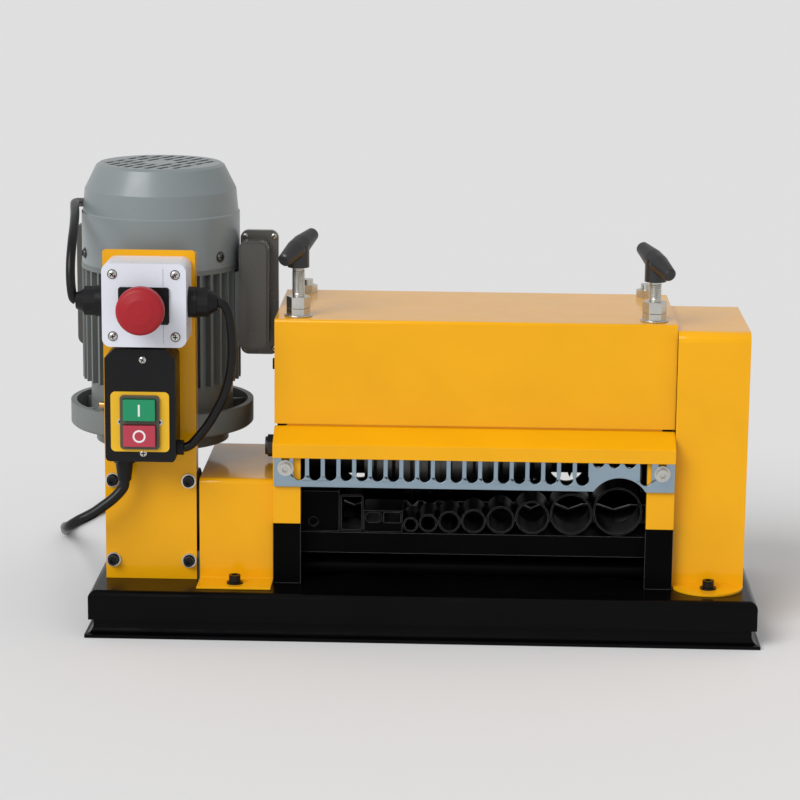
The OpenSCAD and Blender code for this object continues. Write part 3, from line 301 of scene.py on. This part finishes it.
LEAD_R, MAINS_R = 3.9, 4.5
CORD_ROUNDNESS = 5
FLOOR_LIE = MAINS_R + 0.05
MAINS_ROUTE = [
    (-253, -100.5, 131), (-254.5, -100.5, 124), (-262, -102.5, 115.5), (-271, -104, 108.5),
    (-281, -104.5, 101.5), (-292, -103, 95.5), (-300.5, -97, 89), (-306, -82, 83.5), (-311, -55, 76.5),
    (-317, -18, 67), (-324.5, 30, 54), (-332, 80, 41), (-339.5, 126, 28.5), (-346, 165, 16.5),
    (-350.5, 196, 7.5), (-352, 222, FLOOR_LIE), (-346, 245, FLOOR_LIE), (-337.5, 272, FLOOR_LIE),
    (-329, 300, FLOOR_LIE), (-325, 316, FLOOR_LIE), (-325, 325, FLOOR_LIE),
]
COIL_AT = (-269, 325)
COIL_R, COIL_PITCH, COIL_LAYER = 56, 2 * MAINS_R + 2, 2 * MAINS_R + 0.6
COIL_TURNS, COIL_STEPS = 2, 40
COIL_END = 2 * COIL_TURNS + 0.5
COIL_TAIL = 24
RIGHT_ROUTE = [
    (-173, -104, 285), (-168, -104, 283.5), (-164, -104, 275), (-161.7, -103.5, 260), (-161.3, -103, 240),
    (-163.5, -103, 222), (-170, -102, 202), (-182, -101, 180), (-194, -100.5, 165), (-198.5, -100.5, 161.2),
    (-202.5, -100.5, 160),
]
LEFT_ROUTE = [
    (-291, -104, 285), (-294, -104, 288), (-295.8, -102, 300), (-296.5, -97, 315), (-297, -84, 330),
    (-298.5, -62, 341), (-301.5, -36, 348), (-305.5, -10, 351), (-307.5, 12, 351), (-300, 42, 347),
    (-274, 76, 341), (-232, 94, 330), (-194, 97, 313), (-166, 92, 294), (-151, 75.67, 277.5),
    (-151, 63.67, 276.5),
]


def smooth(points, steps=8):
    """Catmull-Rom curve through points given in millimetres, in metres."""
    points = [mm(*p) for p in points]
    found = []
    for i in range(len(points) - 1):
        a, b = points[max(i - 1, 0)], points[i]
        c, d = points[i + 1], points[min(i + 2, len(points) - 1)]
        for k in range(steps):
            t = k / steps
            found.append(0.5 * (2 * b + t * (c - a) + t * t * (2 * a - 5 * b + 4 * c - d)
                                + t ** 3 * (3 * b - a - 3 * c + d)))
    return found + [points[-1]]


def coil_points():
    """The stored coil: it runs in, climbs a layer in half a turn and runs out again."""
    found = []
    for i in range(1, round(COIL_STEPS * COIL_END) + 1):
        t = i / COIL_STEPS
        inward = t if t < COIL_TURNS else min(COIL_END - t, COIL_TURNS)
        r = COIL_R - COIL_PITCH * inward
        climb = min(max(2 * (t - COIL_TURNS), 0), 1)
        angle = math.pi * (1 - 2 * t)
        found.append(mm(COIL_AT[0] + r * math.cos(angle), COIL_AT[1] + r * math.sin(angle),
                        FLOOR_LIE + COIL_LAYER * climb * climb * (3 - 2 * climb)))
    found.append(mm(COIL_AT[0] + COIL_R, COIL_AT[1] - COIL_TAIL, FLOOR_LIE + COIL_LAYER))
    return found


def tube_curve(name, points, radius):
    curve = bpy.data.curves.new(name, "CURVE")
    curve.dimensions = "3D"
    curve.bevel_depth = radius * MM
    curve.bevel_resolution = CORD_ROUNDNESS
    curve.use_fill_caps = True
    spline = curve.splines.new("POLY")
    spline.points.add(len(points) - 1)
    for slot, p in zip(spline.points, points):
        slot.co = (*p, 1)
    spline.use_smooth = True
    curve.materials.append(SHEATH)
    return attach(show(name, curve), "frame")


def make_cords():
    path = smooth(MAINS_ROUTE) + coil_points()
    mains = tube_curve("mains_lead", path, MAINS_R)
    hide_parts("mains_cord", "mains_coil")
    right = tube_curve("switch_lead", smooth(RIGHT_ROUTE), LEAD_R)
    left = tube_curve("motor_lead", smooth(LEFT_ROUTE), LEAD_R)
    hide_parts("leads")
    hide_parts("leads")


# Small pieces, in millimetres

SHARP_ANGLE = math.radians(38)


def circles(at, axis, profile, sides):
    """Rings of points about an axis, one for each (radius, height)."""
    across = axis.orthogonal().normalized()
    beside = axis.cross(across)
    turns = [2 * math.pi * i / sides for i in range(sides)]
    return [[Vector(at) + axis * h + r * (math.cos(t) * across + math.sin(t) * beside) for t in turns]
            for r, h in profile]


class Piece:
    """Gathers small shapes, placed in millimetres in the part's frame, as one object that rides on a body."""

    def __init__(self, name, body, slot):
        self.name, self.body, self.slot = name, body, slot
        self.mesh = bmesh.new()
        self.materials = []

    def face(self, corners, material):
        if material not in self.materials:
            self.materials.append(material)
        self.mesh.faces.new(corners).material_index = self.materials.index(material)

    def skin(self, rings, material, closed=True):
        """Faces between rings of as many points each."""
        rings = [[self.mesh.verts.new(p * MM) for p in ring] for ring in rings]
        for a, b in zip(rings, rings[1:]):
            count = len(a)
            for i in range(count if closed else count - 1):
                j = (i + 1) % count
                self.face((a[i], a[j], b[j], b[i]), material)
        return rings

    def turned(self, material, at, axis, profile, sides=28):
        """A profile of (radius, height) turned about an axis, closed at its last ring."""
        rings = self.skin(circles(at, axis, profile, sides), material)
        self.face(rings[-1], material)

    def ring(self, material, at, axis, inner, outer, height, sides=40):
        profile = ((outer, 0), (outer, height), (inner, height), (inner, 0))
        self.skin(circles(at, axis, profile, sides), material)

    def bar(self, material, at, along, axis, length, width, height):
        """A block on a face: its length runs along a direction, its height along the axis."""
        beside = axis.cross(along)
        low = [Vector(at) + along * (i * length / 2) + beside * (j * width / 2)
               for i, j in ((-1, -1), (1, -1), (1, 1), (-1, 1))]
        rings = self.skin([low, [p + axis * height for p in low]], material)
        self.face(rings[-1], material)

    def slab(self, material, middle, width, height, depth, corner, edge=1.5, steps=6):
        """A block with round corners and a softened rim, its face towards the operator."""
        middle = Vector(middle)

        def outline(inset, y):
            return [middle + Vector((i * (width / 2 - corner) + (corner - inset) * math.cos(a), y,
                                     j * (height / 2 - corner) + (corner - inset) * math.sin(a)))
                    for i, j, start in ((1, 1, 0), (-1, 1, 90), (-1, -1, 180), (1, -1, 270))
                    for a in (math.radians(start + 90 * k / steps) for k in range(steps + 1))]

        front = -depth / 2
        rings = self.skin([outline(0, -front), outline(0, front + edge),
                           outline(0.3 * edge, front + 0.3 * edge), outline(edge, front)], material)
        self.face(rings[0], material)
        self.face(rings[-1], material)

    def screw(self, head, at, axis, r, turn=0.0):
        """A pan head with a cross recess drawn as two dark bars of painted shade, turned in degrees. Its heights
        are shares of its radius.
        """
        at = Vector(at)
        self.turned(head, at, axis, [(r, 0), (r, 0.14 * r), (0.86 * r, 0.36 * r), (0.5 * r, 0.52 * r),
                                     (0.2 * r, 0.56 * r)])
        for quarter in (0, 90):
            along = Matrix.Rotation(math.radians(turn + quarter), 3, axis) @ axis.orthogonal().normalized()
            # Each bar is a dark mark of painted shade, standing for the shadow in the cross recess.
            self.bar(RECESS_SHADE, at + axis * 0.48 * r, along, axis, 1.2 * r, 0.26 * r, 0.1 * r)

    def thread(self, material, foot, length, root, crest, pitch, steps=20):
        """A ridge that winds up a Z shaft and sinks into it at both ends."""
        count = round(length / pitch * steps)
        flank, land = Z_AXIS * pitch * 0.42, Z_AXIS * pitch * 0.07
        rings = []
        for i in range(count + 1):
            t = 2 * math.pi * i / steps
            out = Vector((math.cos(t), math.sin(t), 0))
            tip = root + (crest - root) * min(1, i / steps, (count - i) / steps)
            middle = Vector(foot) + Z_AXIS * (length * i / count)
            rings.append([middle + out * root - flank, middle + out * tip - land, middle + out * tip + land,
                          middle + out * root + flank])
        self.skin(rings, material, closed=False)

    def done(self):
        bmesh.ops.recalc_face_normals(self.mesh, faces=self.mesh.faces)
        data = bpy.data.meshes.new(self.name)
        self.mesh.to_mesh(data)
        self.mesh.free()
        data.shade_smooth()
        data.set_sharp_from_angle(angle=SHARP_ANGLE)
        for material in self.materials:
            data.materials.append(material)
        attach(show(self.name, data), self.body)


PRINT_T = 0.12
STOP_SCREW_AT, STOP_SCREW_R, STOP_WELL_R = 26, 3.6, 4.1
SEAM_X, SEAM_W, SEAM_T, SEAM_MARGIN, SEAM_GAP = 16, 0.5, 0.1, 4, 0.5


def stop_box_details():
    low, high, middle = box_mm("stop_box_body")
    collar_low, collar_high, _ = box_mm("stop_collar")
    screws = Piece("stop_box_screws", "frame", "steel")
    for i in (-1, 1):
        for j in (-1, 1):
            at = Vector((middle.x + i * STOP_SCREW_AT, low.y, middle.z + j * STOP_SCREW_AT))
            # A thin dark ring round each screw: painted shade of the well it sits in.
            screws.ring(RECESS_SHADE, at, FRONT, STOP_SCREW_R, STOP_WELL_R, PRINT_T)
            screws.screw(STEEL, at, FRONT, STOP_SCREW_R, 20 + 35 * i + 15 * j)
    screws.done()
    seams = Piece("stop_box_seams", "frame", "white_plastic")
    for z0, z1 in ((low.z + SEAM_MARGIN, collar_low.z - SEAM_GAP),
                   (collar_high.z + SEAM_GAP, high.z - SEAM_MARGIN)):
        seams.bar(SEAM_GREY, (middle.x + SEAM_X, low.y, (z0 + z1) / 2), Z_AXIS, FRONT, z1 - z0, SEAM_W, SEAM_T)
    seams.done()


SWITCH_SCREW_R, SWITCH_SCREW_TOP, SWITCH_SCREW_FOOT = 3.3, 9, 7.5
RIVET_X, RIVET_BORE_R, RIVET_R, RIVET_T, RIVET_FLOOR = 16.5, 1.3, 2.6, 0.5, 0.15
START_MARK_H, START_MARK_W = 10, 1.6
STOP_MARK_IN_R, STOP_MARK_OUT_R = 3.9, 5.4


def switch_details():
    low, high, middle = box_mm("switch_body")
    screws = Piece("switch_screws", "frame", "steel")
    for z, turn in ((high.z - SWITCH_SCREW_TOP, 15), (low.z + SWITCH_SCREW_FOOT, 50)):
        screws.screw(STEEL, (middle.x, low.y, z), FRONT, SWITCH_SCREW_R, turn)
    plate_low, _, plate = box_mm("switch_plate")
    for i in (-1, 1):
        at = Vector((plate.x + RIVET_X * i, plate_low.y, plate.z))
        screws.ring(STEEL, at, FRONT, RIVET_BORE_R, RIVET_R, RIVET_T)
        # A dark disc in the rivet's bore: painted shade inside the hollow.
        screws.turned(RECESS_SHADE, at, FRONT, [(RIVET_BORE_R, 0), (RIVET_BORE_R, RIVET_FLOOR)], 16)
    screws.done()
    for node, body in (("start_key", "start_button"), ("stop_key", "stop_switch")):
        key_low, _, key = box_mm(node)
        at = (key.x, key_low.y, key.z)
        mark = Piece(node + "_mark", body, "white_plastic")
        if node == "start_key":
            mark.bar(MARK_WHITE, at, Z_AXIS, FRONT, START_MARK_H, START_MARK_W, PRINT_T)
        else:
            mark.ring(MARK_WHITE, at, FRONT, STOP_MARK_IN_R, STOP_MARK_OUT_R, PRINT_T)
        mark.done()


COVER_SCREW_TURNS, COVER_SCREW_RISE, COVER_SCREW_R = (-66, 54, 174), 10, 3.8
COVER_SEAT_IN_R, COVER_SEAT_OUT_R, COVER_SEAT_T = 2.4, 4.8, 0.8
COVER_SEAT_SINK, COVER_SCREW_LIFT = 0.4, 0.3
LID_T, LID_SCREW_X, LID_SCREW_Z, LID_SCREW_R = 6, 4, 5, 2.6
EARTH_OFF = Vector((-45, -52, 2))
EARTH_BOSS = [(5.5, 0), (5, 20)]
EARTH_HEAD = [(4.6, 0), (4.6, 3.2), (4, 3.9), (1, 4.1)]


def motor_details():
    low, high, middle = box_mm("fan_cover")
    r = (high.x - low.x) / 2
    screws = Piece("motor_screws", "frame", "steel")
    axle = Vector((middle.x, middle.y, low.z + COVER_SCREW_RISE))
    for azimuth in COVER_SCREW_TURNS:
        out = Vector((math.sin(math.radians(azimuth)), -math.cos(math.radians(azimuth)), 0))
        screws.ring(SHAFT_STEEL, axle + out * (r - COVER_SEAT_SINK), out, COVER_SEAT_IN_R, COVER_SEAT_OUT_R,
                    COVER_SEAT_T)
        screws.screw(SHAFT_STEEL, axle + out * (r + COVER_SCREW_LIFT), out, COVER_SCREW_R, azimuth)
    lid_low, lid_high, _ = box_mm("terminal_lid")
    rim_y = lid_high.y - LID_T
    for x in (lid_low.x + LID_SCREW_X, lid_high.x - LID_SCREW_X):
        for z in (lid_low.z + LID_SCREW_Z, lid_high.z - LID_SCREW_Z):
            screws.screw(STEEL, (x, rim_y, z), FRONT, LID_SCREW_R, x + z)
    _, flange_high, flange = box_mm("motor_flange")
    earth = Vector((flange.x, flange.y, flange_high.z)) + EARTH_OFF
    screws.turned(CAST_GREY, earth - Z_AXIS * EARTH_BOSS[-1][1], Z_AXIS, EARTH_BOSS)
    screws.turned(BRASS, earth, Z_AXIS, EARTH_HEAD, 6)
    screws.done()


BOLT_SEAT_R, BOLT_SEAT_T = 5.98, 1.5
WASHER_IN_R, WASHER_OUT_R, WASHER_PROUD = 5.1, 6.3, 0.15


def bracket_washers():
    low, high, _ = box_mm("bracket_screws")
    face = box_mm("control_bracket")[0].y
    washers = Piece("bracket_washers", "frame", "steel")
    for x in (low.x + BOLT_SEAT_R, high.x - BOLT_SEAT_R):
        for z in (low.z + BOLT_SEAT_R, high.z - BOLT_SEAT_R):
            washers.ring(STEEL, (x, face, z), FRONT, WASHER_IN_R, WASHER_OUT_R, BOLT_SEAT_T + WASHER_PROUD)
    washers.done()


# The two slabs of the capacitor box: place from the motor's axis, width, depth, less height, corner
CAPACITOR_LID = ((-61, 25), 34, LID_T, 0, 7)
CAPACITOR_CASE = ((-60, 46), 28, 40, 10, 5)


def capacitor_box():
    """A second box behind the motor's left side, of which the photograph shows one edge."""
    low, high, lid = box_mm("terminal_lid")
    motor = box_mm("motor_body")[2]
    box = Piece("capacitor_box", "frame", "dark_grey")
    for (x, y), width, depth, less, corner in (CAPACITOR_LID, CAPACITOR_CASE):
        box.slab(DARK_GREY, (motor.x + x, motor.y + y, lid.z), width, high.z - low.z - less, depth, corner)
    box.done()


SCREW_R, THREAD_H, THREAD_PITCH, THREAD_END = 5.0, 0.45, 1.5, 1


def thread_details():
    nuts_high = box_mm("hex_nuts")[1]
    for side in ("left", "right"):
        middle = box_mm(side + "_screw")[2]
        handle_low = box_mm(side + "_handle")[0]
        thread = Piece(side + "_thread", side + "_setting", "steel")
        thread.thread(STEEL, (middle.x, middle.y, nuts_high.z + THREAD_END),
                      handle_low.z - nuts_high.z - 2 * THREAD_END, SCREW_R, SCREW_R + THREAD_H, THREAD_PITCH)
        thread.done()


# Stage

FLOOR_GREY = (0.765, 0.765, 0.77)
FLOOR_SIZE = 80
SKY, SUN = 0.60, 1.9
SUN_FROM = (-0.65, -0.85, 0.85)
SUN_WIDTH = math.radians(35)


def make_stage():
    bpy.ops.mesh.primitive_plane_add(size=FLOOR_SIZE)
    floor = bpy.context.object
    floor.name = "floor"
    floor.data.materials.append(coated("floor_grey", FLOOR_GREY, 0.8, shine=0.1, vary=0.0))
    scene = bpy.context.scene
    scene.view_settings.view_transform = "Standard"
    world = bpy.data.worlds.new("studio")
    world.use_nodes = True
    background = world.node_tree.nodes["Background"]
    background.inputs["Color"].default_value = (1, 1, 1, 1)
    background.inputs["Strength"].default_value = SKY
    scene.world = world
    data = bpy.data.lights.new("key", "SUN")
    data.energy = SUN
    data.angle = SUN_WIDTH
    show("key", data).rotation_euler = Vector(SUN_FROM).to_track_quat("Z", "Y").to_euler()


make_camera()
make_cords()
stop_box_details()
switch_details()
motor_details()
bracket_washers()
capacitor_box()
thread_details()
paint_nodes()
soften_edges()
make_stage()
